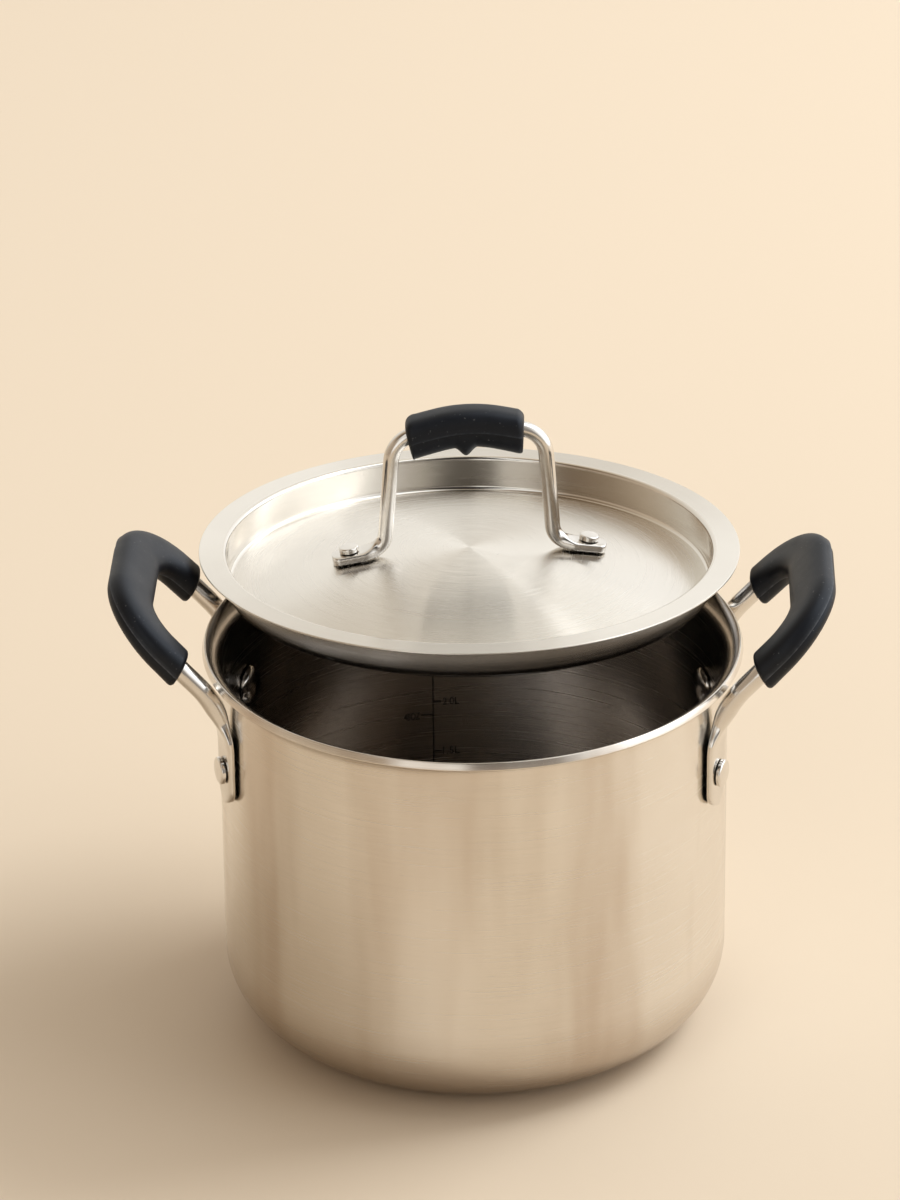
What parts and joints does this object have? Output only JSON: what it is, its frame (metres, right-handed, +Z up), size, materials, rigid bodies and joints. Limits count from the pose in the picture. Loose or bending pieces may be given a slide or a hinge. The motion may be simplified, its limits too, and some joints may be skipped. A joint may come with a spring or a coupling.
{
  "type": "casserole pot",
  "caption": "Deep steel casserole pot with riveted rod handles, moulded rubber grips and a sunk, domed lid that lies ajar on the lip and lifts off.",
  "frame": {"origin": "centre of the underside of the base, on the surface that the pot stands on", "axes": "+Z up along the pot's axis, +X towards the right side handle, -Y towards the side the picture was taken from"},
  "size_m": [0.2512, 0.233, 0.2092],
  "materials": {
    "body_steel": "polished outside, brushed round the inside",
    "rod_steel": "polished rod",
    "rivet_steel": "polished",
    "lid_steel": "satin, brushed in circles",
    "grip_rubber": "matt moulded"
  },
  "bodies": {
    "pot": {"pot_body": "body_steel", "right_handle_bar": "rod_steel", "left_handle_bar": "rod_steel", "right_grip": "grip_rubber", "left_grip": "grip_rubber", "rivet_right_front": "rivet_steel", "rivet_right_rear": "rivet_steel", "rivet_left_front": "rivet_steel", "rivet_left_rear": "rivet_steel"},
    "lid": {"lid_shell": "lid_steel", "lid_handle_bar": "rod_steel", "lid_grip": "grip_rubber", "lid_rivet_right": "rivet_steel", "lid_rivet_left": "rivet_steel"}
  },
  "joints": [
    {"name": "lid_lift", "type": "slide", "parent": "pot", "child": "lid", "axis": [0, 0, 1], "range_m": [0, 0.15]}
  ]
}
